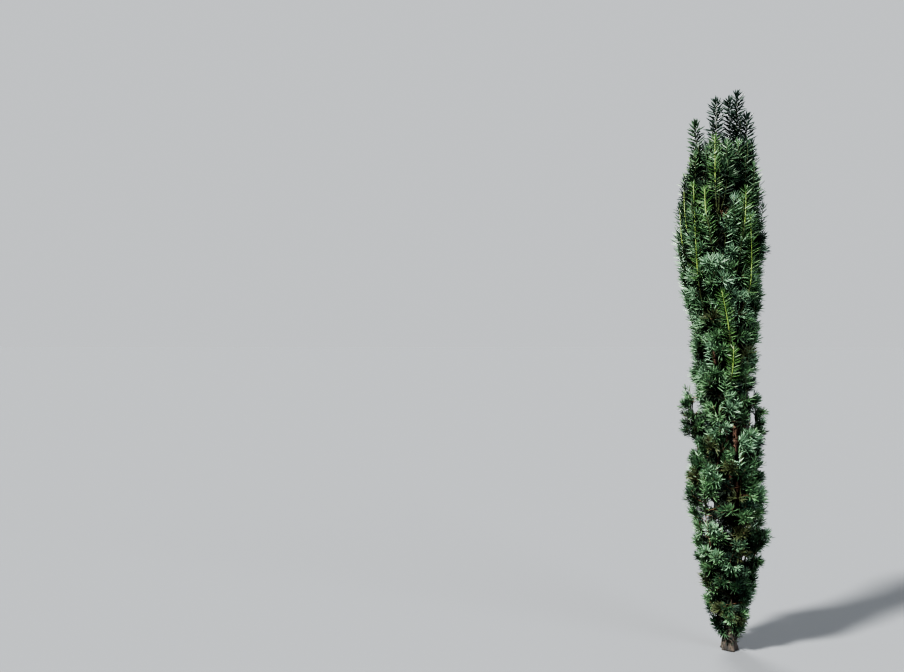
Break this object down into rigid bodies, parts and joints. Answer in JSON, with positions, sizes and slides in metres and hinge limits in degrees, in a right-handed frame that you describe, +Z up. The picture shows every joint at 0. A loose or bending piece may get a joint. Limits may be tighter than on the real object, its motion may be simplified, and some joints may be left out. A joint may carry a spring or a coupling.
{
  "type": "irish yew",
  "caption": "Slim upright evergreen yew in column form: one trunk, a second stem, upright boughs and dense masses of dark needles.",
  "frame": {"origin": "middle of the trunk's flat cut at ground level", "axes": "+Z up along the trunk, -Y towards the viewer of the front, +X to that viewer's right"},
  "size_m": [0.3544, 0.3265, 2.0018],
  "materials": {
    "bark": "dull, flaking reddish-brown bark",
    "foliage": "satin, dark green waxy needles"
  },
  "bodies": {
    "root": {"bough_foot_1": "bark", "bough_foot_2": "bark", "bough_foot_3": "bark", "bough_leader_left": "bark", "bough_leader_right": "bark", "bough_leader_twin": "bark", "bough_low_1": "bark", "bough_low_2": "bark", "bough_low_3": "bark", "bough_low_4": "bark", "bough_middle_1": "bark", "bough_middle_2": "bark", "bough_middle_3": "bark", "bough_middle_4": "bark", "bough_top_1": "bark", "bough_top_2": "bark", "bough_top_3": "bark", "bough_top_4": "bark", "bough_top_5": "bark", "bough_tuft_left": "bark", "bough_tuft_right": "bark", "bough_tuft_right_low": "bark", "bough_upper_1": "bark", "bough_upper_2": "bark", "bough_upper_3": "bark", "bough_upper_4": "bark", "bough_upper_5": "bark", "bough_upper_6": "bark", "foot_1": "foliage", "foot_2": "foliage", "foot_3": "foliage", "leader": "foliage", "leader_far_left": "foliage", "leader_left": "foliage", "leader_right": "foliage", "leader_twin": "foliage", "left_stem": "bark", "low_1": "foliage", "low_2": "foliage", "low_3": "foliage", "low_4": "foliage", "middle_1": "foliage", "middle_2": "foliage", "middle_3": "foliage", "middle_4": "foliage", "top_1": "foliage", "top_2": "foliage", "top_3": "foliage", "top_4": "foliage", "top_5": "foliage", "trunk": "bark", "tuft_left": "foliage", "tuft_right": "foliage", "tuft_right_low": "foliage", "upper_1": "foliage", "upper_2": "foliage", "upper_3": "foliage", "upper_4": "foliage", "upper_5": "foliage", "upper_6": "foliage"}
  },
  "joints": []
}
